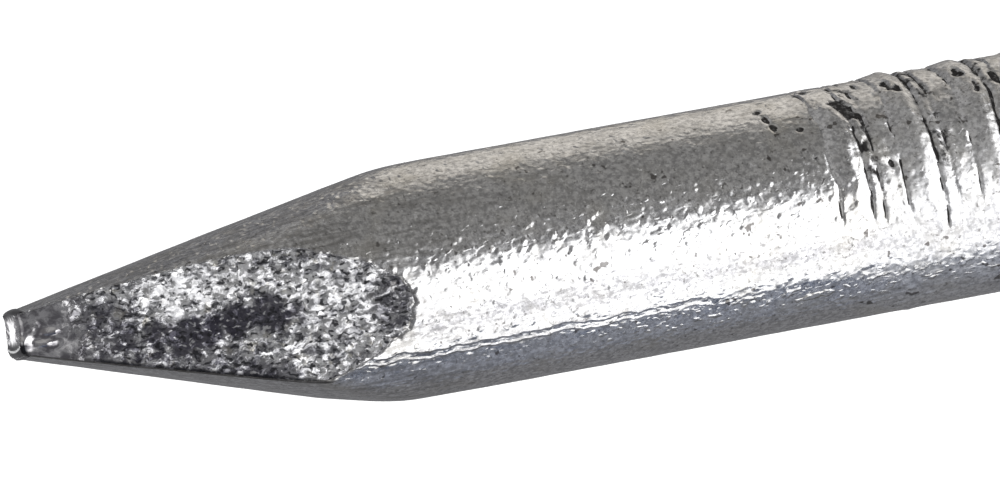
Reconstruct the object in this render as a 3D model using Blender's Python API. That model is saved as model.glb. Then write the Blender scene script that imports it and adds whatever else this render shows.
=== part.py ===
"""A galvanised clout nail, standing on its head with the point up.

The nail is cold-headed from one length of zinc-coated wire, so it has two bodies: the steel core, and the
zinc coating as a sleeve around it. The heading punch leaves the top of the head bare, and the two cutters
that shear the point leave its front and back facets bare, so the sleeve is open there.

Units are metres, +Z is up. The origin is the centre of the head's flat top, where a hammer strikes and where
the nail stands. +Z runs along the shank to the point. An angle around the shank is measured from -Y towards
+X. The front facet faces -Y, turned a little towards -X.
"""

import math

import bmesh
import bpy
import numpy as np
from mathutils import Vector

MM = 0.001

# Driving dimensions.
SHANK_DIAMETER = 3.0 * MM
NAIL_LENGTH = 20.0 * MM  # from the underside of the head to the end of the point
HEAD_DIAMETER = 7.5 * MM
HEAD_THICKNESS = 0.9 * MM
COATING_THICKNESS = 0.04 * MM
COATING_CLEARANCE = 0.01 * MM  # between the coating and the steel, so that the two solids don't touch

SHANK_RADIUS = SHANK_DIAMETER / 2
HEAD_RADIUS = HEAD_DIAMETER / 2
OVERALL_LENGTH = HEAD_THICKNESS + NAIL_LENGTH
CORE_INSET = COATING_THICKNESS + COATING_CLEARANCE

# Head. The rim is rounded, and a fillet joins the head's underside to the shank.
RIM_ROUND = 0.16 * MM
NECK_FILLET = 0.35 * MM
COATING_START = math.radians(-60)  # on the round of the rim's top edge, where -90 is the flat top
BARE_RIM_END = math.radians(-67)
ARC_STEPS = 4

# Marks of the two gripping dies: saw-tooth ridges pressed across two opposite sides of the shank.
# Each ridge rises towards the head, drops into a groove, and levels out.
RIDGE_PITCH = 0.95 * MM
RIDGE_COUNT = 8
FIRST_RIDGE_FROM_TIP = 11.84 * MM
FAINT_RIDGE_HEIGHT = 0.35  # of the ridge nearest the point, as a share of a full one
RIDGE_PROFILE = (  # from the point towards the head: share of the pitch, height above the shank
    (-0.42, 0.0),
    (-0.12, 0.055 * MM),
    (0.05, -0.02 * MM),
    (0.24, 0.0),
)
DIES = (  # middle of each die, how far its marks keep their height to each side, and where they end
    (math.radians(52), math.radians(50), math.radians(66)),
    (math.radians(214), math.radians(36), math.radians(50)),
)

# Point. It has four sides: two are sheared flat, and the two between them are pressed nearly flat with their
# coating on. One pressed side slopes more steeply than the other, so the end lies off the shank's axis.
POINT_TURN = math.radians(-10)  # angle of the front sheared facet
FACET_LENGTH = 4.95 * MM
TIP_HALF_THICKNESS = 0.385 * MM  # from the axis to each sheared facet at the tip
PRESSED_SIDES = (  # angle, distances from the tip, how far the side lies from the axis there, and how much
    # of the shank's roundness it keeps across, from 0 for flat to 1
    (math.radians(90), (0.0, 2.50 * MM, 7.0 * MM), (0.517 * MM, 1.012 * MM, 1.877 * MM), 0.62),
    (math.radians(-89), (0.0, 3.85 * MM, 7.0 * MM), (0.053 * MM, 1.264 * MM, 2.042 * MM), 0.25),
)
PRESSED_SOFTNESS = 0.05 * MM  # how softly a pressed side turns into the round of the shank
PRESSED_MARGIN = 0.25 * MM  # the roundness goes on this far past the sheared facets
POINT_START = 6.0 * MM  # from the tip to the point's first ring
POINT_STATIONS = 16
COATING_SETBACK = 0.02 * MM  # the coating stops this far short of the blunt end

SIDES = 48
CUTTER_SIZE = 12 * MM
CUTTER_WIDTH = 8 * MM


def clear_scene():
    for item in list(bpy.data.objects):
        bpy.data.objects.remove(item, do_unlink=True)


def smoothstep(value):
    share = min(max(value, 0.0), 1.0)
    return share * share * (3 - 2 * share)


def direction(angle):
    """Unit vector across the shank at an angle around it."""
    return Vector((math.sin(angle), -math.cos(angle), 0.0))


def ring_angles():
    return [2 * math.pi * step / SIDES for step in range(SIDES)]


def round_ring(radius, height):
    return [direction(angle) * radius + Vector((0, 0, height)) for angle in ring_angles()]


def arc(centre_radius, centre_height, radius, start, end):
    """Rings along an arc of the nail's profile."""
    rings = []
    for step in range(ARC_STEPS + 1):
        turn = start + (end - start) * step / ARC_STEPS
        across = centre_radius + radius * math.cos(turn)
        along = centre_height + radius * math.sin(turn)
        rings.append(round_ring(across, along))
    return rings


def head_rings(inset, start):
    """From the rim's top edge, around the rim and along the underside, to the foot of the neck's fillet."""
    rim_centre = HEAD_RADIUS - RIM_ROUND
    quarter = math.pi / 2
    top_edge = arc(rim_centre, RIM_ROUND, RIM_ROUND - inset, start, 0)
    under_edge = arc(rim_centre, HEAD_THICKNESS - RIM_ROUND, RIM_ROUND - inset, 0, quarter)
    neck = arc(
        SHANK_RADIUS + NECK_FILLET,
        HEAD_THICKNESS + NECK_FILLET,
        NECK_FILLET + inset,
        -quarter,
        -2 * quarter,
    )
    return top_edge + under_edge + neck


def die_share(angle):
    """How strongly a gripping die marked the shank at this angle, from 0 to 1."""
    strongest = 0.0
    for middle, full, end in DIES:
        away = abs(math.remainder(angle - middle, 2 * math.pi))
        strongest = max(strongest, smoothstep((end - away) / (end - full)))
    return strongest


def ridge_rings(inset):
    """From the head towards the point, the rings of the gripped stretch."""
    rings = []
    for number in range(RIDGE_COUNT, -1, -1):
        strength = FAINT_RIDGE_HEIGHT if number == 0 else 1.0
        from_tip = FIRST_RIDGE_FROM_TIP + (number - 1) * RIDGE_PITCH
        for share, lift in reversed(RIDGE_PROFILE):
            height = OVERALL_LENGTH - from_tip - share * RIDGE_PITCH
            ring = []
            for angle in ring_angles():
                radius = SHANK_RADIUS - inset + lift * strength * die_share(angle)
                ring.append(direction(angle) * radius + Vector((0, 0, height)))
            rings.append(ring)
    return rings


def point_ring(from_tip, inset):
    """The round section of the shank, pressed in on the two coated sides of the point."""
    ring = round_ring(SHANK_RADIUS - inset, OVERALL_LENGTH - from_tip)
    spread = (SHANK_RADIUS - TIP_HALF_THICKNESS) * from_tip / FACET_LENGTH
    widest = min(TIP_HALF_THICKNESS + spread + PRESSED_MARGIN, SHANK_RADIUS)
    for turn, stations, reaches, roundness in PRESSED_SIDES:
        facing = direction(turn)
        aside = direction(turn + math.pi / 2)
        reach = float(np.interp(from_tip, stations, reaches)) - inset
        for place, point in enumerate(ring):
            across = min(abs(point.dot(aside)), widest)
            drop = SHANK_RADIUS - math.sqrt(SHANK_RADIUS**2 - across**2)
            over = point.dot(facing) - (reach - roundness * drop)
            ring[place] = point - facing * (over + math.hypot(over, PRESSED_SOFTNESS)) / 2
    return ring


def point_rings(inset, last_from_tip):
    """From the shank to the blunt end."""
    rings = []
    for step in range(POINT_STATIONS):
        share = step / (POINT_STATIONS - 1)
        rings.append(point_ring(POINT_START + (last_from_tip - POINT_START) * share, inset))
    return rings


def mesh_object(name, rings, material, loop=False):
    """A closed solid through the rings. A looped one joins its last ring to its first, as a sleeve does."""
    mesh = bmesh.new()
    rows = [[mesh.verts.new(point) for point in ring] for ring in rings]
    pairs = list(zip(rows, rows[1:]))
    if loop:
        pairs.append((rows[-1], rows[0]))
    else:
        mesh.faces.new(rows[0])
        mesh.faces.new(list(reversed(rows[-1])))
    for near, far in pairs:
        for step in range(SIDES):
            after = (step + 1) % SIDES
            mesh.faces.new((near[step], near[after], far[after], far[step]))
    mesh.normal_update()
    bmesh.ops.recalc_face_normals(mesh, faces=mesh.faces)
    data = bpy.data.meshes.new(name)
    mesh.to_mesh(data)
    mesh.free()
    data.shade_smooth()
    data.set_sharp_from_angle(angle=math.radians(30))
    data.materials.append(material)
    made = bpy.data.objects.new(name, data)
    bpy.context.scene.collection.objects.link(made)
    return made


def metal(name, colour, roughness):
    material = bpy.data.materials.new(name)
    material.use_nodes = True
    shader = material.node_tree.nodes["Principled BSDF"]
    shader.inputs["Base Color"].default_value = (*colour, 1.0)
    shader.inputs["Roughness"].default_value = roughness
    shader.inputs["Metallic"].default_value = 1.0
    return material


def facet_cutter(name, side):
    """A block whose near face is the plane of one sheared facet. side is 1 for the front and -1 for the back."""
    lean = math.atan((SHANK_RADIUS - TIP_HALF_THICKNESS) / FACET_LENGTH)
    facing = direction(POINT_TURN) * side
    along = Vector((0, 0, math.cos(lean))) - facing * math.sin(lean)
    outwards = facing * math.cos(lean) + Vector((0, 0, math.sin(lean)))
    across = along.cross(outwards)
    foot = facing * SHANK_RADIUS + Vector((0, 0, OVERALL_LENGTH - FACET_LENGTH))
    mesh = bmesh.new()
    bmesh.ops.create_cube(mesh, size=1.0)
    for vertex in mesh.verts:
        part = vertex.co
        vertex.co = (
            foot
            + across * part.x * CUTTER_WIDTH
            + along * part.y * CUTTER_SIZE
            + outwards * (part.z + 0.5) * CUTTER_WIDTH
        )
    data = bpy.data.meshes.new(name)
    mesh.to_mesh(data)
    mesh.free()
    cutter = bpy.data.objects.new(name, data)
    cutter.hide_render = True
    cutter.display_type = "WIRE"
    bpy.context.scene.collection.objects.link(cutter)
    return cutter


def cut(body, cutters):
    for cutter in cutters:
        modifier = body.modifiers.new(cutter.name, "BOOLEAN")
        modifier.operation = "DIFFERENCE"
        modifier.solver = "EXACT"
        modifier.object = cutter


def steel_core(cutters):
    """Head, shank and point in one piece of wire, with the head's flat top bare and at full size."""
    rim_centre = HEAD_RADIUS - RIM_ROUND
    bare_edge = arc(rim_centre, RIM_ROUND, RIM_ROUND, -math.pi / 2, BARE_RIM_END)
    rings = bare_edge + head_rings(CORE_INSET, BARE_RIM_END)
    rings += ridge_rings(CORE_INSET) + point_rings(CORE_INSET, 0.0)
    core = mesh_object("steel_core", rings, metal("steel", (0.50, 0.50, 0.52), 0.38))
    cut(core, cutters)


def zinc_coating(cutters):
    """A thin sleeve from the rim's top edge to the point, open at the head's top, the facets and the end."""
    skins = []
    for inset in (0.0, COATING_THICKNESS):
        skin = head_rings(inset, COATING_START) + ridge_rings(inset)
        skins.append(skin + point_rings(inset, COATING_SETBACK))
    outside, inside = skins
    rings = outside + list(reversed(inside))
    coating = mesh_object("zinc_coating", rings, metal("zinc", (0.66, 0.67, 0.70), 0.26), loop=True)
    cut(coating, cutters)


def main():
    clear_scene()
    cutters = [facet_cutter("front_facet_cutter", 1), facet_cutter("back_facet_cutter", -1)]
    steel_core(cutters)
    zinc_coating(cutters)


main()
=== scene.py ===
"""The look of a galvanised clout nail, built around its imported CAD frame.

The nail stands on its head with the point up, in metres, in the frame's own place. Two pieces carry the look:
zinc_skin, the coating with the gripping dies' marks, and steel_body, the bare steel of the head's top, of the
two sheared facets and of the blunt end. The camera looks at the point from close by, a little from above, and
is rolled so that the point lies to the left.
"""

import math

import bpy
import numpy as np
from mathutils import Matrix, Vector, noise


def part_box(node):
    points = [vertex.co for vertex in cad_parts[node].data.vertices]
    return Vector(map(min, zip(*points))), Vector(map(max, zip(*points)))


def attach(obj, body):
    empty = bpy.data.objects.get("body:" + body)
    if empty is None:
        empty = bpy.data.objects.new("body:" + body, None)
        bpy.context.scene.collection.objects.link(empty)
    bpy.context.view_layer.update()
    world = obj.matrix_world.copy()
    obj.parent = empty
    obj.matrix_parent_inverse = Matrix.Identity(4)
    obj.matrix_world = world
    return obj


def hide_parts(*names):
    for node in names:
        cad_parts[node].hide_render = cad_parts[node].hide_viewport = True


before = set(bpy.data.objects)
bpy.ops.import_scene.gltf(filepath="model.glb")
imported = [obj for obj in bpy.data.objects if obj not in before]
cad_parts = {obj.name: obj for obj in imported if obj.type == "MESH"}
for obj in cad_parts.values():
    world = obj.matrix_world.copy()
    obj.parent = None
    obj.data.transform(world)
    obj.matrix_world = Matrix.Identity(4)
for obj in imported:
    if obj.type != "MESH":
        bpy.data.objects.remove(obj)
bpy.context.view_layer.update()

MM = 0.001

# Sizes that the frame gives.
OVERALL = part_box("steel_core")[1].z
HEAD_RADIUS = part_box("zinc_coating")[1].x

# Sizes that repeat the CAD's.
SHANK_RADIUS = 1.5 * MM
HEAD_THICKNESS = 0.9 * MM
COAT = 0.04 * MM
GAP = 0.01 * MM
RIM_ROUND = 0.16 * MM
NECK_FILLET = 0.35 * MM
COAT_START = math.radians(-60)
BARE_RIM_END = math.radians(-67)

RIDGE_PITCH = 0.95 * MM
RIDGE_COUNT = 8
FIRST_RIDGE = 11.84 * MM
DIES = (  # middle of each gripping die, how far its marks keep their height to each side, and where they end
    (math.radians(52), math.radians(50), math.radians(66)),
    (math.radians(214), math.radians(36), math.radians(50)),
)

POINT_TURN = math.radians(-10)
FACET_LENGTH = 4.95 * MM
TIP_HALF_THICKNESS = 0.385 * MM
PRESSED_SIDES = (  # turn, distances from the tip, how far the side lies from the axis there, roundness
    (math.radians(90), (0.0, 2.50 * MM, 7.0 * MM), (0.517 * MM, 1.012 * MM, 1.877 * MM), 0.62),
    (math.radians(-89), (0.0, 3.85 * MM, 7.0 * MM), (0.053 * MM, 1.264 * MM, 2.042 * MM), 0.25),
)
PRESSED_SOFTNESS = 0.05 * MM
PRESSED_MARGIN = 0.25 * MM

# The shown coating. On the shank and point it is thinner than the CAD's, as the edge around a facet shows it.
SKIN = 0.012 * MM
SKIN_GAP = 0.003 * MM
SKIN_END = 0.05 * MM  # from the tip
NECK_TOP = OVERALL - HEAD_THICKNESS - NECK_FILLET  # from the tip to the neck's fillet
SHANK_END = NECK_TOP - 0.06 * MM  # from the tip to the shank's last ring, just short of the fillet

# Angle between a sheared facet and the nail's axis.
FACET_LEAN = math.atan((SHANK_RADIUS - TIP_HALF_THICKNESS) / FACET_LENGTH)

# How finely the pieces are meshed.
COLUMNS = 180
FRONT_COLUMNS = 144  # of the coating, from FRONT_START to FRONT_END
BACK_COLUMNS = 72
FRONT_START, FRONT_END = -52, 112  # degrees
COLUMNS_PER_INNER = 3  # outer columns of the coating to one of its inside
FACET_STEP = 0.028 * MM
POINT_ROWS_END = 5.6 * MM  # from the tip, where the coating's rows change their spacing


def smoothstep(value):
    """0 up to 0 and 1 from 1 on, with a smooth rise between."""
    share = np.clip(value, 0.0, 1.0)
    return share * share * (3 - 2 * share)


def field(points, scale, seed, stretch=1.0):
    """Smooth noise from -1 to 1 at each point. stretch above 1 draws it out along the shank."""
    moved = points / scale
    moved[..., 2] /= stretch
    moved += np.array((17.3, 41.7, 29.9)) * seed
    flat = moved.reshape(-1, 3)
    values = np.fromiter((noise.noise(Vector(point)) for point in flat), float, len(flat))
    return values.reshape(points.shape[:-1])


def directions(angles):
    """Unit vectors across the shank, from -Y towards +X."""
    return np.stack([np.sin(angles), -np.cos(angles), np.zeros_like(angles)], axis=-1)


def bell(distance, width):
    """1 at distance 0, falling off smoothly over the width."""
    return np.exp(-((distance / width) ** 2))


# ---------------------------------------------------------------- the nail's surface


def soft_excess(over, softness):
    """over where it is positive and 0 where it is negative, with a rounded turn."""
    return (over + np.hypot(over, softness)) / 2


def shank_points(from_tip, angles, outset):
    """Points of the shank and the point, outset from the plain surface. The arrays hold rows and columns."""
    points = (SHANK_RADIUS + outset + 0 * from_tip)[..., None] * directions(angles)
    spread = (SHANK_RADIUS - TIP_HALF_THICKNESS) * from_tip / FACET_LENGTH
    widest = TIP_HALF_THICKNESS + spread + PRESSED_MARGIN
    for turn, stations, reaches, roundness in PRESSED_SIDES:
        facing = directions(np.array(turn))
        aside = directions(np.array(turn + math.pi / 2))
        across = np.minimum(np.minimum(np.abs(points @ aside), widest), SHANK_RADIUS)
        drop = SHANK_RADIUS - np.sqrt(SHANK_RADIUS**2 - across**2)
        limit = np.interp(from_tip, stations, reaches) + outset - roundness * drop
        press = soft_excess(points @ facing - limit, PRESSED_SOFTNESS)
        points = points - press[..., None] * facing
    points[..., 2] = OVERALL - from_tip
    return points


def die_share(angles, spread=0.0):
    """How strongly a gripping die marked the shank, from 0 to 1. spread widens or narrows its reach."""
    strongest = np.zeros_like(angles)
    for middle, full, end in DIES:
        away = np.abs((angles - middle + math.pi) % (2 * math.pi) - math.pi)
        strongest = np.maximum(strongest, smoothstep((end + spread - away) / (end - full)))
    return strongest


def rows_by_step(start, end, step_at):
    """Places from start to end whose spacing follows step_at(place)."""
    fine = np.linspace(start, end, 4000)
    density = 1 / step_at(fine)
    filled = np.concatenate([[0], np.cumsum((density[1:] + density[:-1]) / 2 * abs(fine[1] - fine[0]))])
    count = int(round(filled[-1]))
    return np.interp(np.linspace(0, filled[-1], count + 1), filled, fine)


def shank_step(from_tip):
    """Row spacing: finest across the ridges nearest the point, which are the ones in view."""
    step = np.where(from_tip < POINT_ROWS_END, 0.08 * MM, 0.11 * MM)
    step = np.where(from_tip > FIRST_RIDGE - 2.2 * RIDGE_PITCH, 0.025 * MM, step)
    step = np.where(from_tip > FIRST_RIDGE + 1.6 * RIDGE_PITCH, 0.060 * MM, step)
    return np.where(from_tip > FIRST_RIDGE + RIDGE_COUNT * RIDGE_PITCH, 0.09 * MM, step)


def coat_angles():
    """Angles of the coating's columns, closest together on the side with the ridges in view."""
    front = np.radians(np.linspace(FRONT_START, FRONT_END, FRONT_COLUMNS, endpoint=False))
    back = np.radians(np.linspace(FRONT_END, FRONT_START + 360, BACK_COLUMNS, endpoint=False))
    return np.concatenate([front, back])


RIDGE_SHAPE = (  # share of the pitch from the crest towards the head, height above the shank
    (-0.52, 0.000 * MM),
    (-0.47, 0.000 * MM),
    (-0.40, 0.010 * MM),
    (-0.18, 0.048 * MM),
    (-0.12, 0.055 * MM),
    (-0.09, 0.050 * MM),
    (0.035, 0.000 * MM),
    (0.06, -0.010 * MM),
    (0.10, 0.014 * MM),
    (0.14, 0.022 * MM),
    (0.22, 0.004 * MM),
    (0.26, -0.004 * MM),
    (0.30, 0.008 * MM),
    (0.48, 0.000 * MM),
)
CRACKS = (  # share of the pitch from the crest, depth, half width, how far it runs past the ridge's end
    (-0.40, 0.025 * MM, 0.018 * MM, math.radians(5)),
    (0.055, 0.031 * MM, 0.018 * MM, math.radians(8)),
    (0.255, 0.025 * MM, 0.018 * MM, math.radians(4)),
)


def ridge_place(points, from_tip):
    """Which ridge a point belongs to, and its share of the pitch from that ridge's crest."""
    waver = 0.050 * MM * field(points, 0.60 * MM, 3) + 0.018 * MM * field(points, 0.17 * MM, 4)
    place = (from_tip + waver - FIRST_RIDGE) / RIDGE_PITCH
    number = np.round(place)
    return place, number, place - number


def cracks(points, from_tip, angles):
    """How deep each point lies in a crack beside the ridges."""
    place, number, phase = ridge_place(points, from_tip)
    marked = smoothstep((place + 1.60) / 0.2) * smoothstep((RIDGE_COUNT - 0.45 - place) / 0.3)
    depth = np.zeros(points.shape[:-1])
    for middle, deep, half_width, past in CRACKS:
        own = 0.09 * np.sin(number * 3.1 + middle * 40) + 0.08 * field(points, 0.3 * MM, 7)
        broken = 0.25 + 0.75 * smoothstep(0.55 + 1.3 * field(points, 0.28 * MM, 14 + deep / MM))
        reach = die_share(angles, past + own) * broken
        away = (phase - middle - 0.02 * np.sin(number * 5.0 + middle * 17)) * RIDGE_PITCH
        depth += marked * deep * reach * bell(away, half_width)
    return depth


def ridges(points, from_tip, angles):
    """Height of the gripping dies' marks above the shank, without their cracks."""
    shares = np.array([share for share, _ in RIDGE_SHAPE])
    heights = np.array([height for _, height in RIDGE_SHAPE])
    place, number, phase = ridge_place(points, from_tip)
    marked = smoothstep((place + 1.50) / 0.2) * smoothstep((RIDGE_COUNT - 0.45 - place) / 0.3)
    first = np.where(number == -1, 1.0 - 0.9 * smoothstep((angles - 0.75) / 0.5), 1.0)
    first = first * (0.55 + 0.45 * smoothstep((angles - 0.2) / 0.7))
    ragged = 0.08 * np.sin(number * 2.4 + 1.0) + 0.10 * field(points, 0.13 * MM, 5)
    strength = marked * first * die_share(angles, ragged) * (1 + 0.22 * field(points, 0.45 * MM, 6))
    bruises = 0.014 * MM * field(points, 0.16 * MM, 8) + 0.008 * MM * field(points, 0.08 * MM, 10)
    between_marks = 1 - bell(phase + 0.20, 0.16)
    return (np.interp(phase, shares, heights) + bruises * between_marks) * strength


def grime(points, from_tip, angles):
    """Patches of dirt that the gripping dies pressed into the shank beside each crest, from 0 to 1."""
    place, _, phase = ridge_place(points, from_tip)
    marked = smoothstep((place + 1.10) / 0.2) * smoothstep((RIDGE_COUNT - 0.45 - place) / 0.3)
    beside = smoothstep((phase + 0.02) / 0.06) * smoothstep((0.5 - phase) / 0.3)
    patchy = smoothstep((field(points, 0.12 * MM, 15) + 0.6 * field(points, 0.3 * MM, 16) + 0.10) / 0.5)
    return 0.78 * marked * beside * patchy * die_share(angles, math.radians(-12))


def undulation(points):
    """Slow waves and lumps of the coated surface, a little drawn out along the shank."""
    waves = 0.0040 * MM * field(points, 0.7 * MM, 1, 1.6)
    lumps = 0.0030 * MM * field(points, 0.22 * MM, 2, 1.5)
    return waves + lumps


PITS = (  # distance from the tip, angle in degrees, half length along the shank, half width across, depth
    (9.88, 61, 0.070, 0.060, 0.020),
    (9.94, 53, 0.050, 0.090, 0.025),
    (9.98, 46, 0.045, 0.080, 0.025),
    (10.31, 42, 0.070, 0.045, 0.018),
    (10.62, 78, 0.060, 0.100, 0.018),
    (10.86, 57, 0.080, 0.100, 0.035),
    (10.94, 52, 0.100, 0.090, 0.040),
    (11.03, 46, 0.070, 0.100, 0.035),
    (10.91, 38, 0.045, 0.090, 0.014),
    (11.04, 25, 0.055, 0.120, 0.018),
    (11.31, 14, 0.040, 0.060, 0.018),
    (10.38, 24, 0.045, 0.060, 0.014),
    (11.26, 72, 0.060, 0.110, 0.020),
    (11.63, 64, 0.055, 0.160, 0.030),
    (11.74, 58, 0.060, 0.110, 0.035),
    (12.60, 64, 0.060, 0.200, 0.030),
    (12.72, 50, 0.050, 0.140, 0.035),
    (13.01, 56, 0.050, 0.140, 0.035),
    (3.35, 60, 0.060, 0.050, 0.025),
    (8.30, 200, 0.08, 0.06, 0.020),
    (13.90, 250, 0.08, 0.14, 0.045),
    (15.20, 205, 0.07, 0.16, 0.045),
    (6.90, 120, 0.05, 0.05, 0.018),
)


def pits(points, from_tip, angles):
    """Change of height in the pits, so 0 outside them and negative inside."""
    height = np.zeros(points.shape[:-1])
    ragged = 0.75 * field(points, 0.11 * MM, 9)
    for along, turn, half_length, half_width, deep in PITS:
        away = (angles - math.radians(turn) + math.pi) % (2 * math.pi) - math.pi
        across = away * SHANK_RADIUS / (half_width * MM)
        lengthwise = (from_tip - along * MM) / (half_length * MM)
        distance = np.hypot(across, lengthwise) + ragged
        height -= deep * MM * smoothstep((1.25 - distance) / 0.9)
    return height


# ---------------------------------------------------------------- meshes


def mesh_from(name, points, faces, soil_and_shade=None):
    """A mesh object. The given values say how dark its first points are painted, from 0 to 1, for grime and
    for painted shade in cracks and pits, and any further points get 1.

    Without them, every point gets 0.
    """
    mesh = bpy.data.meshes.new(name)
    mesh.from_pydata([tuple(point) for point in points], [], faces)
    darkening = mesh.attributes.new("soil_and_shade", "FLOAT", "POINT")
    if soil_and_shade is not None:
        darkening.data.foreach_set("value", np.concatenate([soil_and_shade, np.ones(len(points) - len(soil_and_shade))]))
    mesh.validate()
    made = bpy.data.objects.new(name, mesh)
    bpy.context.scene.collection.objects.link(made)
    return made


def tube_faces(rows, columns, start=0):
    """Quads between rings of vertices that follow each other."""
    faces = []
    for row in range(rows - 1):
        for column in range(columns):
            after = (column + 1) % columns
            low, high = start + row * columns, start + (row + 1) * columns
            faces.append((low + column, low + after, high + after, high + column))
    return faces


def arc(centre_radius, centre_height, radius, start, end, steps):
    """Points (distance from the axis, height) along an arc of the profile."""
    turns = np.linspace(start, end, steps + 1)
    return [(centre_radius + radius * math.cos(t), centre_height + radius * math.sin(t)) for t in turns]


def between(first, last, steps):
    """Points strictly between two profile points."""
    shares = [step / steps for step in range(1, steps)]
    return [(first[0] + (last[0] - first[0]) * s, first[1] + (last[1] - first[1]) * s) for s in shares]


def head_profile(inset, start, steps):
    """From the rim's top edge, around the rim and the underside, to the shank at the neck's fillet."""
    rim = HEAD_RADIUS - RIM_ROUND
    quarter = math.pi / 2
    top_edge = arc(rim, RIM_ROUND, RIM_ROUND - inset, start, 0, steps)
    under_edge = arc(rim, HEAD_THICKNESS - RIM_ROUND, RIM_ROUND - inset, 0, quarter, steps)
    neck_radius, neck_height = SHANK_RADIUS + NECK_FILLET, HEAD_THICKNESS + NECK_FILLET
    neck = arc(neck_radius, neck_height, NECK_FILLET + inset, -quarter, -2 * quarter, steps)
    side = between(top_edge[-1], under_edge[0], steps)
    underside = between(under_edge[-1], neck[0], 2 * steps)
    return top_edge + side + under_edge + underside + neck


def revolve(profile, angles):
    """Rings of points for a profile, as an array of rows, columns and coordinates."""
    radii = np.array([radius for radius, _ in profile])[:, None]
    points = radii[..., None] * directions(angles)
    points[..., 2] = np.array([height for _, height in profile])[:, None]
    return points


def head_wear(points):
    """Moves the head's rim and underside a little out of true, as a cold-formed head is."""
    radius = np.hypot(points[..., 0], points[..., 1])
    on_head = smoothstep((radius - SHANK_RADIUS * 1.25) / (0.6 * MM))
    swell = 0.020 * MM * field(points, 2.2 * MM, 11) + 0.006 * MM * field(points, 0.5 * MM, 12)
    outward = points / np.maximum(radius, 1e-9)[..., None]
    outward[..., 2] = 0
    points = points + outward * (swell * on_head - 0.018 * MM * on_head)[..., None]
    under = smoothstep((points[..., 2] - HEAD_THICKNESS * 0.8) / (0.1 * MM)) * on_head
    points[..., 2] += under * (0.010 * MM * field(points, 0.6 * MM, 13) - 0.006 * MM)
    return points


def zinc_skin():
    """The coating as a closed sleeve: a finely meshed outside and a plain inside."""
    angles = coat_angles()[None]
    columns = angles.shape[1]
    head = head_wear(revolve(head_profile(0, COAT_START, 8), angles))
    from_tip = rows_by_step(SKIN_END, SHANK_END, shank_step)[::-1][:, None]
    plain = shank_points(from_tip, angles, np.zeros_like(angles))
    cracked, pitted = cracks(plain, from_tip, angles), pits(plain, from_tip, angles)
    marks = ridges(plain, from_tip, angles) + undulation(plain) + pitted - cracked
    shank = shank_points(from_tip, angles, marks)
    outside = np.concatenate([head, shank])
    # painted shade, darkest in the deepest cracks and pits, then joined with the grime beside the crests
    grime_and_shade = smoothstep((cracked - pitted * 1.6 - 0.008 * MM) / (0.020 * MM))
    grime_and_shade = np.maximum(grime_and_shade, grime(plain, from_tip, angles))
    soil_and_shade = np.concatenate([np.zeros(head.shape[:-1]).ravel(), grime_and_shade.ravel()])

    inner_angles = angles[:, ::COLUMNS_PER_INNER]
    inner_columns = inner_angles.shape[1]
    inner_head = revolve(head_profile(COAT, COAT_START, 4), inner_angles)
    inner_from_tip = np.linspace(SHANK_END, SKIN_END, 60)[:, None]
    inner_shank = shank_points(inner_from_tip, inner_angles, np.full_like(inner_angles, -SKIN))
    inside = np.concatenate([inner_head, inner_shank])

    points = np.concatenate([outside.reshape(-1, 3), inside.reshape(-1, 3)])
    first_inner = outside.shape[0] * columns
    faces = tube_faces(outside.shape[0], columns)
    faces += [face[::-1] for face in tube_faces(inside.shape[0], inner_columns, first_inner)]
    outer_last = (outside.shape[0] - 1) * columns
    inner_last = first_inner + (inside.shape[0] - 1) * inner_columns
    for column in range(inner_columns):
        after = (column + 1) % inner_columns
        edge = [(column * COLUMNS_PER_INNER + step) % columns for step in range(COLUMNS_PER_INNER + 1)]
        faces.append([first_inner + column, first_inner + after] + edge[::-1])
        faces.append([inner_last + after, inner_last + column] + [outer_last + place for place in edge])
    return mesh_from("zinc_skin", points, faces, soil_and_shade)


def head_top(angles):
    """The bare top of the head, from the middle out to the rim's round, with the punch's faint marks."""
    flat = [(radius * MM, 0.0) for radius in np.linspace(0.06, 3.5, 58)]
    rim = HEAD_RADIUS - RIM_ROUND
    edge = arc(rim, RIM_ROUND, RIM_ROUND, -math.pi / 2, BARE_RIM_END, 3)
    points = revolve(flat + edge, angles)
    radius = np.hypot(points[..., 0], points[..., 1])
    rings = 0.002 * MM * np.sin(radius / (0.11 * MM))
    dents = 0.005 * MM * field(points, 0.5 * MM, 21) + 0.003 * MM * field(points, 0.16 * MM, 22)
    inner = smoothstep((3.5 * MM - radius) / (0.3 * MM))
    points[..., 2] += inner * (0.010 * MM + rings + dents)
    return points


# The blunt end: a hollow with a border that falls away from it.
LIP = 0.020 * MM  # how far the steel stands out past the coating there
END_ROUND = 0.040 * MM
DISH_SHIFT = 0.07 * MM  # of the hollow's middle, towards +X
DISH_RADIUS = 0.25 * MM
DISH_DEPTH = 0.045 * MM
BORDER_FALL = 0.040 * MM


def dish_distance(away):
    """Square of the distance from the middle of the blunt end's hollow, and 1 along the hollow's border."""
    return (away[..., 0] ** 2 + 0.14 * away[..., 1] ** 2) / DISH_RADIUS**2


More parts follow.
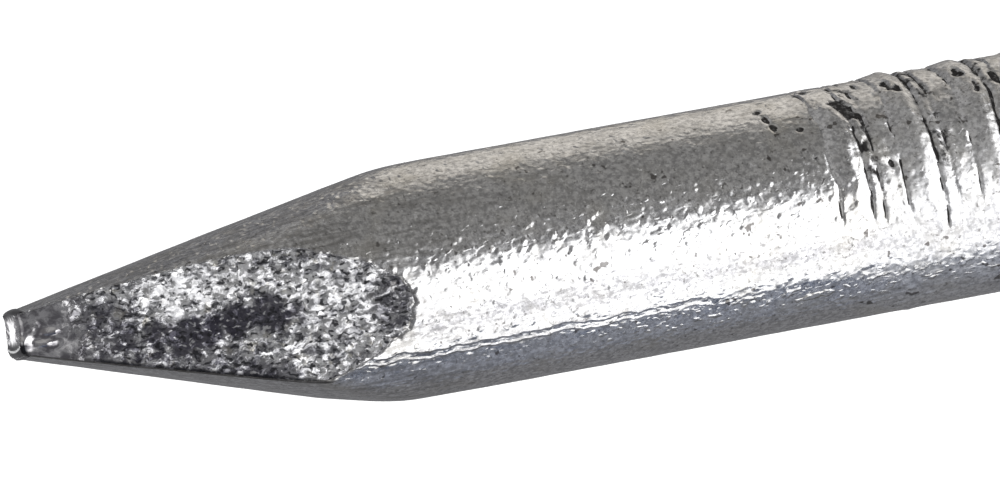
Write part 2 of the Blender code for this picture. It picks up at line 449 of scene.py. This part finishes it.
def steel_body():
    """The wire itself. Only the head's top, the facets and the blunt end show."""
    angles = np.linspace(0, 2 * math.pi, COLUMNS, endpoint=False)[None]
    top = head_top(angles)
    rim_and_neck = revolve(head_profile(COAT + GAP, BARE_RIM_END, 4), angles)
    shank_rows, end_rows = np.linspace(SHANK_END, 0.3 * MM, 90), np.linspace(0.27 * MM, 0.0, 20)
    from_tip = np.concatenate([shank_rows, end_rows])[:, None]
    lip = (SKIN + SKIN_GAP + LIP) * smoothstep((0.15 * MM - from_tip) / (0.06 * MM))
    lip = lip - END_ROUND * (1 - np.sqrt(1 - np.clip(1 - from_tip / (0.05 * MM), 0, 1) ** 2))
    outset = lip - SKIN - SKIN_GAP + np.zeros((1, COLUMNS))
    shank = shank_points(from_tip, angles, outset)
    middle = shank[-1].mean(axis=0) + np.array((DISH_SHIFT, 0, 0))
    shares = np.linspace(0.96, 0.05, 14)[:, None, None]
    dish = middle + (shank[-1] - middle) * shares
    dish[..., 2] -= DISH_DEPTH * np.clip(1 - dish_distance(dish - middle), 0, 1)
    for part in (shank, dish):
        near_end = smoothstep((part[..., 2] - OVERALL + 0.12 * MM) / (0.10 * MM))
        part[..., 2] -= near_end * BORDER_FALL * np.clip(dish_distance(part - middle) - 1, 0, 1.3)
    rings = np.concatenate([top, rim_and_neck, shank, dish])
    points = rings.reshape(-1, 3)
    faces = tube_faces(rings.shape[0], COLUMNS)
    last = (rings.shape[0] - 1) * COLUMNS
    faces.append(list(range(COLUMNS))[::-1])
    faces.append([last + column for column in range(COLUMNS)])
    return mesh_from("steel_body", points, faces)


SWELLS = (  # swells and hollows of the front facet: from the tip, across, half length, half width, height
    (0.01, 0.17, 0.13, 0.10, 0.065),
    (0.12, 0.36, 0.13, 0.12, 0.024),
    (0.40, 0.27, 0.13, 0.035, 0.042),
    (0.31, 0.14, 0.15, 0.035, 0.042),
    (2.85, 0.20, 1.50, 0.90, 0.020),
    (2.65, 0.00, 0.80, 0.22, -0.050),
    (4.65, 0.10, 0.30, 0.30, -0.020),
)


def facet_relief(along, across, side):
    """Height of a sheared facet above its plane, along from the tip and across the nail."""
    points = np.stack([across, np.zeros_like(along) + side * 3 * MM, along], axis=-1)
    torn = 0.020 * MM * field(points, 0.8 * MM, 41) + 0.012 * MM * field(points, 0.30 * MM, 42)
    grains = 0.012 * MM * field(points, 0.13 * MM, 43) + 0.009 * MM * field(points, 0.07 * MM, 44)
    rolled = -0.030 * MM * bell(np.maximum(along, 0.0), 0.030 * MM)
    swells = np.zeros_like(along)
    for middle, aside, half_length, half_width, height in SWELLS:
        lengthwise = (along - middle * MM) / (half_length * MM)
        crosswise = (-across * side - aside * MM) / (half_width * MM)
        swells += height * MM * np.exp(-(lengthwise**2 + crosswise**2))
    past_tip = smoothstep((along - 0.35 * MM) / (0.5 * MM))
    pinched = 0.008 * MM * field(points, 0.22 * MM, 45) + 0.002 * MM * field(points, 0.06 * MM, 46)
    fine = torn * past_tip + grains * (0.10 + 0.90 * past_tip) + pinched * (1 - past_tip)
    return fine + rolled + swells


# Size of a facet cutter: from the tip, to each side, and outwards from the facet.
CUT_START, CUT_END = -0.4 * MM, 6.0 * MM
CUT_HALF_WIDTH = 1.3 * MM
CUT_DEPTH = 2.5 * MM


def facet_cutter(side):
    """A block with a rough face that shears one facet. side is 1 for the front and -1 for the back."""
    facing = directions(np.array(POINT_TURN)) * side
    axis = np.array((0, 0, 1.0))
    along_axis = -axis * math.cos(FACET_LEAN) + facing * math.sin(FACET_LEAN)
    outwards = facing * math.cos(FACET_LEAN) + axis * math.sin(FACET_LEAN)
    across_axis = np.cross(along_axis, outwards)
    tip = facing * TIP_HALF_THICKNESS + axis * OVERALL
    steps_along = int(round((CUT_END - CUT_START) / FACET_STEP))
    steps_across = int(round(2 * CUT_HALF_WIDTH / FACET_STEP))
    along, across = np.meshgrid(
        np.linspace(CUT_START, CUT_END, steps_along + 1),
        np.linspace(-CUT_HALF_WIDTH, CUT_HALF_WIDTH, steps_across + 1),
        indexing="ij",
    )
    relief = facet_relief(along, across, side)
    plane = tip + along[..., None] * along_axis + across[..., None] * across_axis
    face = plane + relief[..., None] * outwards
    columns = steps_across + 1
    border = list(range(steps_across))
    border += [row * columns + steps_across for row in range(steps_along)]
    border += [steps_along * columns + column for column in range(steps_across, 0, -1)]
    border += [row * columns for row in range(steps_along, 0, -1)]
    flat = face.reshape(-1, 3)
    lid = plane.reshape(-1, 3)[border] + CUT_DEPTH * outwards
    points = np.concatenate([flat, lid])
    faces = []
    for row in range(steps_along):
        for column in range(steps_across):
            corner = row * columns + column
            faces.append((corner, corner + 1, corner + columns + 1, corner + columns))
    count = len(border)
    for place in range(count):
        after = (place + 1) % count
        faces.append((border[after], border[place], len(flat) + place, len(flat) + after))
    faces.append([len(flat) + place for place in range(count)][::-1])
    return mesh_from(f"facet_cutter_{side}", points, faces)


def outward_volume(item):
    """Volume inside a closed mesh, negative if its faces point inwards."""
    total = 0.0
    vertices = item.data.vertices
    for polygon in item.data.polygons:
        corners = [vertices[index].co for index in polygon.vertices]
        for second, third in zip(corners[1:], corners[2:]):
            total += corners[0].dot(second.cross(third))
    return total / 6


def turn_outwards(item):
    if outward_volume(item) < 0:
        item.data.flip_normals()


def shear(body, cutters):
    """Cuts the facets, keeps the result as the body's mesh, and marks creases sharp."""
    for cutter in cutters:
        modifier = body.modifiers.new(cutter.name, "BOOLEAN")
        modifier.operation = "DIFFERENCE"
        modifier.solver = "EXACT"
        modifier.object = cutter
    graph = bpy.context.evaluated_depsgraph_get()
    cut = bpy.data.meshes.new_from_object(body.evaluated_get(graph))
    body.modifiers.clear()
    body.data = cut
    cut.shade_smooth()
    cut.set_sharp_from_angle(angle=math.radians(38))


# ---------------------------------------------------------------- materials


class Graph:
    """Adds nodes to a material or a world, wiring a value or another node's socket to each input."""

    def __init__(self, tree):
        self.tree = tree
        self.tree.nodes.clear()

    def add(self, kind, inputs=None, **settings):
        node = self.tree.nodes.new(kind)
        for name, value in settings.items():
            setattr(node, name, value)
        for key, value in (inputs or {}).items():
            socket = node.inputs[key]
            if isinstance(value, bpy.types.NodeSocket):
                self.tree.links.new(value, socket)
            else:
                socket.default_value = value
        return node

    def math(self, operation, first, second=0.0):
        inputs = {0: first, 1: second}
        return self.add("ShaderNodeMath", inputs, operation=operation).outputs[0]

    def vector(self, operation, first, second=(0, 0, 0)):
        inputs = {0: first, 1: second}
        return self.add("ShaderNodeVectorMath", inputs, operation=operation).outputs[0]

    def vector_value(self, operation, first, second):
        inputs = {0: first, 1: second}
        return self.add("ShaderNodeVectorMath", inputs, operation=operation).outputs["Value"]

    def scaled(self, vector, scale):
        inputs = {"Vector": vector, "Scale": scale}
        return self.add("ShaderNodeVectorMath", inputs, operation="SCALE").outputs[0]

    def ramp(self, value, low, high, low_value=0.0, high_value=1.0, soft=True):
        """low_value up to low, high_value from high on, and a soft or straight rise between."""
        inputs = {
            "Value": value,
            "From Min": low,
            "From Max": high,
            "To Min": low_value,
            "To Max": high_value,
        }
        kind = "SMOOTHSTEP" if soft else "LINEAR"
        return self.add("ShaderNodeMapRange", inputs, interpolation_type=kind).outputs["Result"]

    def mix(self, share, first, second):
        node = self.add("ShaderNodeMix", {0: share, 6: first, 7: second}, data_type="RGBA")
        return node.outputs[2]

    def noise(self, vector, scale, detail=2.0, roughness=0.5, distortion=0.0):
        inputs = {
            "Vector": vector,
            "Scale": scale,
            "Detail": detail,
            "Roughness": roughness,
            "Distortion": distortion,
        }
        return self.add("ShaderNodeTexNoise", inputs)

    def cells(self, vector, scale):
        return self.add("ShaderNodeTexVoronoi", {"Vector": vector, "Scale": scale})


def rgb(red, green, blue):
    return (red, green, blue, 1.0)


def band(graph, value, low, high, soft_low, soft_high):
    """1 between low and high, fading to 0 over the two soft widths."""
    rise = graph.ramp(value, low - soft_low / 2, low + soft_low / 2)
    fall = graph.ramp(value, high - soft_high / 2, high + soft_high / 2, 1.0, 0.0)
    return graph.math("MULTIPLY", rise, fall)


def tilted_normal(graph, colours, tilts, leaning):
    """The surface's normal, leaning one way, and turned in each grain by up to about half its tilt."""
    turned = leaning
    for colour, strength in zip(colours, tilts):
        centred = graph.vector("SUBTRACT", colour, (0.5, 0.5, 0.5))
        turned = graph.vector("ADD", turned, graph.scaled(centred, strength))
    normal = graph.add("ShaderNodeNewGeometry").outputs["Normal"]
    return graph.vector("NORMALIZE", graph.vector("ADD", normal, turned))


# Marks along the lower front: angles in degrees, and heights between which they fade.
DRAWN_LINES = ((-40.6, -39.2), (-36.4, -35.2))
LINE_SOFTNESS = 1.4
LINE_FADE = (OVERALL - 10.5 * MM, OVERALL - 5.5 * MM)
DASHES = (-53.0, -41.0)
DASH_FADE = (OVERALL - 6.2 * MM, OVERALL - 8.0 * MM)


def drawing_marks(graph, place):
    """Two wavy lines that the drawing die left along the lower front, and short dashes below them."""
    parts = graph.add("ShaderNodeSeparateXYZ", {0: place})
    turn = graph.math("ARCTAN2", parts.outputs[0], graph.math("MULTIPLY", parts.outputs[1], -1.0))
    slow = graph.vector("MULTIPLY", place, (0.3, 0.3, 1.0))
    wave = graph.noise(slow, 2600.0, 2.0, 0.5).outputs["Fac"]
    waver = graph.ramp(wave, 0.3, 0.7, -2.2, 2.2, soft=False)
    turn = graph.math("ADD", graph.math("DEGREES", turn), waver)
    drawn = graph.vector("MULTIPLY", place, (1.0, 1.0, 0.75))
    dashes = graph.ramp(graph.noise(drawn, 9500.0, 1.0, 0.5).outputs["Fac"], 0.54, 0.70)
    dashes = graph.math("MULTIPLY", dashes, band(graph, turn, *DASHES, 6.0, 4.0))
    dashes = graph.math("MULTIPLY", dashes, graph.ramp(parts.outputs[2], *DASH_FADE))
    first, second = [band(graph, turn, *ends, LINE_SOFTNESS, LINE_SOFTNESS) for ends in DRAWN_LINES]
    lines = graph.math("ADD", first, second)
    lines = graph.math("MULTIPLY", lines, graph.ramp(parts.outputs[2], *LINE_FADE))
    return graph.math("ADD", lines, graph.math("MULTIPLY", dashes, 1.1))


def lower_edge(graph, place):
    """Near 1 along the front facet's edge with the lower pressed side, and 0 a little way in from it: where
    shade is painted along that crease.
    """
    turn, stations, reaches, roundness = PRESSED_SIDES[1]
    slope = (reaches[1] - reaches[0]) / stations[1]
    facing = directions(np.array(turn))
    aside = directions(np.array(turn + math.pi / 2))
    outward = graph.vector_value("DOT_PRODUCT", place, (facing[0], facing[1], slope))
    across = graph.vector_value("DOT_PRODUCT", place, tuple(aside))
    left = graph.math("SUBTRACT", SHANK_RADIUS**2, graph.math("MULTIPLY", across, across))
    drop = graph.math("SUBTRACT", SHANK_RADIUS, graph.math("SQRT", graph.math("MAXIMUM", left, 0.0)))
    limit = graph.math("ADD", graph.math("MULTIPLY", drop, -roundness), reaches[0] + slope * OVERALL)
    inside = graph.math("SUBTRACT", limit, outward)
    return graph.ramp(inside, 0.030 * MM, 0.075 * MM, 0.92, 0.0)


def facet_place(from_tip, across):
    """A point of the front facet's plane, from_tip being measured along the facet."""
    facing = directions(np.array(POINT_TURN))
    aside = directions(np.array(POINT_TURN + math.pi / 2))
    point = facing * (TIP_HALF_THICKNESS + from_tip * math.sin(FACET_LEAN)) + aside * across
    point[2] = OVERALL - from_tip * math.cos(FACET_LEAN)
    return tuple(point)


def facet_height(graph, place):
    """Height of a place above the front facet's plane."""
    outwards = directions(np.array(POINT_TURN)) * math.cos(FACET_LEAN)
    outwards[2] = math.sin(FACET_LEAN)
    tip = np.array(facet_place(0.0, 0.0))
    raised = graph.vector_value("DOT_PRODUCT", place, tuple(outwards))
    return graph.math("SUBTRACT", raised, float(tip @ outwards))


ZINC_BUMP = 0.0098 * MM
STEEL_BUMP = 0.012 * MM

# Heights between which the point's smears begin, and between which the duller gripped stretch does.
POINT_FADE = (OVERALL - 7.0 * MM, OVERALL - 4.5 * MM)
GRIPPED = (OVERALL - 10.6 * MM, OVERALL - 11.4 * MM)


def zinc_material():
    """Bright drawn zinc: soft lumps a little drawn out along the shank, speckle, stains and black pits, with
    grime beside the crests and painted shade in the cracks, in the pits and along the front facet's lower
    edge.
    """
    material = bpy.data.materials.new("drawn_zinc")
    material.use_nodes = True
    graph = Graph(material.node_tree)
    place = graph.add("ShaderNodeTexCoord").outputs["Object"]
    drawn = graph.vector("MULTIPLY", place, (1.0, 1.0, 0.70))
    streaky = graph.vector("MULTIPLY", place, (1.0, 1.0, 0.12))

    lumps = graph.noise(drawn, 9500.0, 1.0, 0.4, 0.4).outputs["Fac"]
    waves = graph.noise(streaky, 3400.0, 2.0, 0.5).outputs["Fac"]
    pimples = graph.ramp(graph.noise(drawn, 13000.0, 1.0, 0.5, 0.3).outputs["Fac"], 0.60, 0.74)
    height = graph.math("ADD", lumps, graph.math("MULTIPLY", waves, 0.9))
    height = graph.math("ADD", height, graph.math("MULTIPLY", pimples, 0.25))
    domes = graph.ramp(graph.cells(place, 5600.0).outputs["Distance"], 0.36, 0.02)
    height = graph.math("ADD", height, graph.math("MULTIPLY", domes, 0.62))
    height = graph.math("ADD", height, graph.math("MULTIPLY", drawing_marks(graph, place), 0.9))
    bump = graph.add("ShaderNodeBump", {"Strength": 1.0, "Distance": ZINC_BUMP, "Height": height}).outputs[0]

    speckle = graph.noise(place, 15000.0, 2.0, 0.7).outputs["Fac"]
    mottle = graph.noise(drawn, 3600.0, 3.0, 0.6).outputs["Fac"]
    colour = graph.mix(graph.ramp(speckle, 0.34, 0.66), rgb(0.50, 0.50, 0.51), rgb(0.89, 0.89, 0.90))
    colour = graph.mix(graph.ramp(mottle, 0.44, 0.70, 0.0, 0.40), colour, rgb(0.48, 0.47, 0.45))
    warm = graph.ramp(graph.noise(place, 1500.0, 3.0, 0.6).outputs["Fac"], 0.50, 0.68, 0.0, 0.30)
    colour = graph.mix(warm, colour, rgb(0.62, 0.59, 0.52))
    specks = graph.noise(place, 20000.0, 1.0, 0.5).outputs["Fac"]
    colour = graph.mix(graph.ramp(specks, 0.66, 0.72, 0.0, 0.55), colour, rgb(0.12, 0.11, 0.10))
    colour = graph.mix(graph.ramp(specks, 0.33, 0.27, 0.0, 0.8), colour, rgb(1.0, 1.0, 1.0))
    black = graph.ramp(graph.noise(place, 6500.0, 2.0, 0.5).outputs["Fac"], 0.68, 0.72, 0.0, 0.8)
    colour = graph.mix(black, colour, rgb(0.08, 0.07, 0.065))
    parts = graph.add("ShaderNodeSeparateXYZ", {0: place})
    on_point = graph.ramp(parts.outputs[2], *POINT_FADE)
    smear = graph.ramp(graph.noise(streaky, 14000.0, 3.0, 0.6).outputs["Fac"], 0.42, 0.62, 0.0, 0.5)
    colour = graph.mix(graph.math("MULTIPLY", smear, on_point), colour, rgb(0.26, 0.25, 0.24))
    # near-black from the mesh's values, for grime and for painted shade in cracks and pits, with ragged edges
    soil_and_shade = graph.add("ShaderNodeAttribute", attribute_name="soil_and_shade").outputs["Fac"]
    ragged = graph.noise(place, 16000.0, 3.0, 0.6).outputs["Fac"]
    ragged = graph.ramp(ragged, 0.30, 0.70, -0.30, 0.30, soft=False)
    grime_and_shade = graph.ramp(graph.math("ADD", soil_and_shade, ragged), 0.30, 1.00)
    # painted shade on the coating's cut rim along the front facet's lower edge
    sheared = graph.ramp(facet_height(graph, place), -0.055 * MM, -0.020 * MM)
    grime_and_shade = graph.math("MAXIMUM", grime_and_shade, graph.math("MULTIPLY", sheared, lower_edge(graph, place)))
    colour = graph.mix(graph.math("MULTIPLY", grime_and_shade, 0.98), colour, rgb(0.022, 0.020, 0.020))
    metallic = graph.ramp(grime_and_shade, 0.0, 1.0, 1.0, 0.8, soft=False)
    rough = graph.ramp(mottle, 0.3, 0.7, 0.15, 0.26, soft=False)
    gripped = graph.ramp(parts.outputs[2], *GRIPPED, 0.0, 0.13)
    rough = graph.math("ADD", rough, graph.math("ADD", gripped, graph.math("MULTIPLY", grime_and_shade, 0.45)))
    shader = graph.add(
        "ShaderNodeBsdfPrincipled",
        {"Base Color": colour, "Metallic": metallic, "Roughness": rough, "Normal": bump},
    )
    graph.add("ShaderNodeOutputMaterial", {"Surface": shader.outputs[0]})
    return material


# colours of the front facet's painted shade and painted highlight patches
PAINTED_SHADE, PAINTED_LIGHT = (0.065, 0.062, 0.082), (0.58, 0.58, 0.59)
PAINTED_LIGHT_PATCHES = (  # painted highlights and painted shade on the front facet: from the tip and across, half length, half width, strength, colour
    (2.45, 0.55, 1.40, 0.22, 0.70, PAINTED_LIGHT),
    (2.05, 0.26, 0.45, 0.10, 0.80, PAINTED_LIGHT),
    (3.95, 0.15, 0.75, 0.55, 0.40, PAINTED_LIGHT),
    (1.05, 0.13, 0.70, 0.45, 0.70, PAINTED_SHADE),
    (2.60, -0.66, 1.50, 0.26, 0.70, PAINTED_SHADE),
    (2.10, -0.32, 1.20, 0.24, 0.50, PAINTED_SHADE),
    (2.05, -0.02, 0.85, 0.25, 0.88, PAINTED_SHADE),
    (2.95, 0.10, 0.90, 0.26, 0.92, PAINTED_SHADE),
    (4.72, 0.03, 0.30, 0.34, 0.60, PAINTED_SHADE),
)

# Places across the blunt end where its two dark corners begin and where they are darkest.
LOWER_CORNER = (0.13 * MM, 0.06 * MM)
UPPER_CORNER = (0.43 * MM, 0.50 * MM)


def sheared_steel_material():
    """Bare sheared steel: torn grains that glint each its own way, with patches of painted highlight and
    painted shade, painted glints, painted shade in the grains' crevices and along the front facet's lower
    edge, and a smeared tip.
    """
    material = bpy.data.materials.new("sheared_steel")
    material.use_nodes = True
    graph = Graph(material.node_tree)
    place = graph.add("ShaderNodeTexCoord").outputs["Object"]
    parts = graph.add("ShaderNodeSeparateXYZ", {0: place})
    height = parts.outputs[2]
    torn = graph.ramp(height, OVERALL - 0.40 * MM, OVERALL - 1.0 * MM)
    warp = graph.noise(place, 7000.0, 2.0).outputs["Color"]
    warp = graph.scaled(graph.vector("SUBTRACT", warp, (0.5, 0.5, 0.5)), 0.12 * MM)
    warped = graph.vector("ADD", place, warp)
    slant = {"Vector": warped, "Rotation": (0.0, math.radians(35), 0.0), "Scale": (1.0, 1.0, 0.55)}
    slanted = graph.add("ShaderNodeMapping", slant).outputs[0]
    fine = graph.cells(slanted, 23000.0).outputs["Color"]
    coarse = graph.cells(slanted, 12500.0).outputs["Color"]

    tone = graph.noise(slanted, 8500.0, 4.0, 0.75).outputs["Fac"]
    colour = graph.mix(graph.ramp(tone, 0.40, 0.60), rgb(0.18, 0.18, 0.195), rgb(0.72, 0.72, 0.73))
    warm = graph.ramp(graph.noise(place, 6500.0, 2.0, 0.5).outputs["Fac"], 0.58, 0.70, 0.0, 0.45)
    colour = graph.mix(warm, colour, rgb(0.62, 0.59, 0.50))
    edge = graph.noise(place, 4200.0, 3.0, 0.6).outputs["Fac"]
    lean = 0.0
    # patches of painted highlight and painted shade, each also leaning the normal a little
    for from_tip, across, half_length, half_width, strength, tint in PAINTED_LIGHT_PATCHES:
        away = graph.vector("SUBTRACT", place, facet_place(from_tip * MM, across * MM))
        reach = (1 / (half_width * MM), 1 / (half_width * MM), 1 / (half_length * MM))
        distance = graph.vector_value("LENGTH", graph.vector("MULTIPLY", away, reach), (0, 0, 0))
        distance = graph.math("ADD", distance, graph.ramp(edge, 0.2, 0.8, -0.6, 0.6, soft=False))
        share = graph.ramp(distance, 0.50, 1.20, strength, 0.0)
        colour = graph.mix(share, colour, rgb(*tint))
        lean = graph.math("ADD", graph.math("MULTIPLY", share, -0.21 if tint is PAINTED_LIGHT else 0.10), lean)
    # dark specks of painted shade in the grains' crevices
    crevice_shade_and_glint = graph.noise(slanted, 19000.0, 1.0, 0.5).outputs["Fac"]
    colour = graph.mix(graph.ramp(crevice_shade_and_glint, 0.44, 0.35, 0.0, 0.90), colour, rgb(0.04, 0.04, 0.045))
    # painted glints: bright specks that also lean the normal a little
    glint = graph.math("MULTIPLY", graph.ramp(crevice_shade_and_glint, 0.60, 0.68, 0.0, 0.5), torn)
    colour = graph.mix(glint, colour, rgb(0.80, 0.80, 0.81))
    lean = graph.math("ADD", graph.math("MULTIPLY", glint, -0.22), lean)
    # painted shade along the front facet's crease with the lower pressed side
    colour = graph.mix(lower_edge(graph, place), colour, rgb(0.03, 0.03, 0.035))
    smear = graph.noise(slanted, 9000.0, 3.0, 0.6).outputs["Fac"]
    smeared = graph.mix(graph.ramp(smear, 0.38, 0.62), rgb(0.30, 0.29, 0.31), rgb(0.80, 0.79, 0.80))
    colour = graph.mix(torn, smeared, colour)
    lower = graph.ramp(parts.outputs[0], *LOWER_CORNER)
    upper = graph.ramp(parts.outputs[0], *UPPER_CORNER)
    at_end = graph.ramp(height, OVERALL - 0.16 * MM, OVERALL - 0.06 * MM)
    corners = graph.math("MULTIPLY", graph.math("ADD", lower, upper), at_end)
    colour = graph.mix(corners, colour, rgb(0.05, 0.05, 0.055))

    uneven = graph.ramp(torn, 0.0, 1.0, 0.10, 1.0, soft=False)
    tilts = (graph.math("MULTIPLY", uneven, 0.42), graph.math("MULTIPLY", uneven, 0.30))
    leaning = graph.add("ShaderNodeCombineXYZ", {2: lean}).outputs[0]
    normal = tilted_normal(graph, (fine, coarse), tilts, leaning)
    grain = graph.math("MULTIPLY", graph.noise(slanted, 15000.0, 4.0, 0.65).outputs["Fac"], torn)
    relief = {"Strength": 1.0, "Distance": STEEL_BUMP, "Height": grain, "Normal": normal}
    bump = graph.add("ShaderNodeBump", relief).outputs[0]
    rough = graph.ramp(torn, 0.0, 1.0, 0.11, 0.28, soft=False)
    rough = graph.math("ADD", rough, graph.ramp(lean, -0.22, 0.0, 0.12, 0.0, soft=False))
    shader = graph.add(
        "ShaderNodeBsdfPrincipled",
        {"Base Color": colour, "Metallic": 1.0, "Roughness": rough, "Normal": bump},
    )
    graph.add("ShaderNodeOutputMaterial", {"Surface": shader.outputs[0]})
    return material


def floor_material():
    material = bpy.data.materials.new("pale_floor")
    material.use_nodes = True
    graph = Graph(material.node_tree)
    shader = graph.add("ShaderNodeBsdfPrincipled", {"Base Color": rgb(0.93, 0.93, 0.93), "Roughness": 0.9})
    graph.add("ShaderNodeOutputMaterial", {"Surface": shader.outputs[0]})
    return material


# ---------------------------------------------------------------- stage

FLOOR_DROP = 0.02 * MM  # below the head, so that the two faces don't lie in one plane


def make_floor():
    size = 3.0
    corners = [(-size, -size), (size, -size), (size, size), (-size, size)]
    floor = mesh_from("floor", [(x, y, -FLOOR_DROP) for x, y in corners], [(0, 1, 2, 3)])
    floor.data.materials.append(floor_material())
    floor.visible_glossy = False
    floor.visible_shadow = False


STUDIO = (
    # turn from, to, softness of each end, rise from, to, softness of each end, skew of the last turn, colour
    # grey wall behind the camera's upper side, a little brighter above the horizon
    (20, 120, 40, 10, -90, 90, 1, 1, 0.0, (0.242, 0.238, 0.230)),
    (12, 120, 16, 10, -2, 45, 8, 10, 0.0, (0.36, 0.355, 0.35)),
    # warm card beyond it
    (105, 154, 26, 5, -70, -9, 10, 5, 0.0, (0.74, 0.70, 0.64)),
    # blue-grey card below the key light
    (-114, -74, 12, 3, -80, 20, 10, 20, 0.0, (0.275, 0.29, 0.335)),
    # key light: a wide soft panel low in front, with two dimmer seams
    (-76, 7, 3, 10, -84, -1, 6, 10, 1.6, (2.2, 2.2, 2.2)),
    (-74, -57, 3, 3, -66, -3, 10, 8, 0.0, (1.9, 1.9, 1.9)),
    (-53, -38, 4, 8, -66, -3, 10, 8, 0.0, (1.0, 0.99, 1.02)),
    # thin dark gap at the key light's lower end
    (-87, -77, 2, 3, -80, 10, 10, 10, 0.0, (0.10, 0.125, 0.185)),
    # small high panel that the facets' grains catch, and one behind that the blunt end mirrors
    (-50, 10, 14, 14, 24, 56, 8, 10, 0.0, (0.6, 0.6, 0.6)),
    (175, 200, 3, 1, 9, 17, 3, 3, 0.0, (2.0, 2.0, 2.0)),
    (-200, -175, 1, 3, 9, 17, 3, 3, 0.0, (2.0, 2.0, 2.0)),
)


def make_world():
    """Soft studio panels around the nail. Turn is counted from -Y towards +X, rise above the horizon."""
    world = bpy.data.worlds.new("studio")
    bpy.context.scene.world = world
    world.use_nodes = True
    graph = Graph(world.node_tree)
    way = graph.add("ShaderNodeTexCoord").outputs["Generated"]
    parts = graph.add("ShaderNodeSeparateXYZ", {0: way})
    x, y, z = parts.outputs[0], parts.outputs[1], parts.outputs[2]
    turn = graph.math("DEGREES", graph.math("ARCTAN2", x, graph.math("MULTIPLY", y, -1.0)))
    rise = graph.math("DEGREES", graph.math("ARCSINE", z))
    below = graph.math("ADD", rise, math.degrees(CAMERA_RISE))

    colour = rgb(0.205, 0.205, 0.213)
    for start, end, soft_start, soft_end, bottom, top, soft_bottom, soft_top, skew, tint in STUDIO:
        skewed = graph.math("ADD", turn, graph.math("MULTIPLY", below, skew))
        begun = graph.ramp(turn, start - soft_start / 2, start + soft_start / 2)
        ended = graph.ramp(skewed, end - soft_end / 2, end + soft_end / 2, 1.0, 0.0)
        across = graph.math("MULTIPLY", begun, ended)
        share = graph.math("MULTIPLY", across, band(graph, rise, bottom, top, soft_bottom, soft_top))
        colour = graph.mix(share, colour, rgb(*tint))
    light = graph.add("ShaderNodeBackground", {"Color": colour, "Strength": 1.0}).outputs[0]
    plain = graph.add("ShaderNodeBackground", {"Color": rgb(1.0, 1.0, 1.0), "Strength": 1.0}).outputs[0]
    seen = graph.add("ShaderNodeLightPath").outputs["Is Camera Ray"]
    shown = graph.add("ShaderNodeMixShader", {0: seen, 1: light, 2: plain}).outputs[0]
    graph.add("ShaderNodeOutputWorld", {"Surface": shown})


def make_lights():
    sun = bpy.data.lights.new("overhead", "SUN")
    sun.energy = 3.6
    sun.angle = math.radians(40)
    lamp = bpy.data.objects.new("overhead", sun)
    lamp.visible_glossy = False
    bpy.context.scene.collection.objects.link(lamp)


# Camera: it looks at the shank between the shoulders and the ridges from this far above the horizon.
CAMERA_RISE = math.radians(14)
CAMERA_ROLL = math.radians(10.35)
CAMERA_DISTANCE = 150 * MM
VIEW_WIDTH = 12.70 * MM
AIM = Vector((0.194 * MM, 0.0, OVERALL - 6.439 * MM))


def make_camera():
    back = Vector((0, -math.cos(CAMERA_RISE), math.sin(CAMERA_RISE)))
    down_shank = Vector((0, -math.sin(CAMERA_RISE), -math.cos(CAMERA_RISE)))
    side = Vector((1, 0, 0))
    right = math.cos(CAMERA_ROLL) * down_shank - math.sin(CAMERA_ROLL) * side
    up = math.sin(CAMERA_ROLL) * down_shank + math.cos(CAMERA_ROLL) * side
    data = bpy.data.cameras.new("camera")
    data.sensor_width = 36.0
    data.lens = data.sensor_width * CAMERA_DISTANCE / VIEW_WIDTH
    data.clip_start = 0.01
    data.clip_end = 20.0
    camera = bpy.data.objects.new("camera", data)
    bpy.context.scene.collection.objects.link(camera)
    turn = Matrix((right, up, back)).transposed()
    camera.matrix_world = Matrix.Translation(AIM + back * CAMERA_DISTANCE) @ turn.to_4x4()
    bpy.context.scene.camera = camera


def main():
    bpy.context.scene.view_settings.view_transform = "Standard"
    make_camera()
    make_world()
    make_lights()
    make_floor()

    cutters = [facet_cutter(1), facet_cutter(-1)]
    skin, body = zinc_skin(), steel_body()
    for item in cutters + [skin, body]:
        turn_outwards(item)
    shear(skin, cutters)
    shear(body, cutters)
    for cutter in cutters:
        bpy.data.objects.remove(cutter, do_unlink=True)

    skin.data.materials.append(zinc_material())
    body.data.materials.append(sheared_steel_material())
    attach(skin, "root")
    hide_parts("zinc_coating")
    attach(body, "root")
    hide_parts("steel_core")


main()
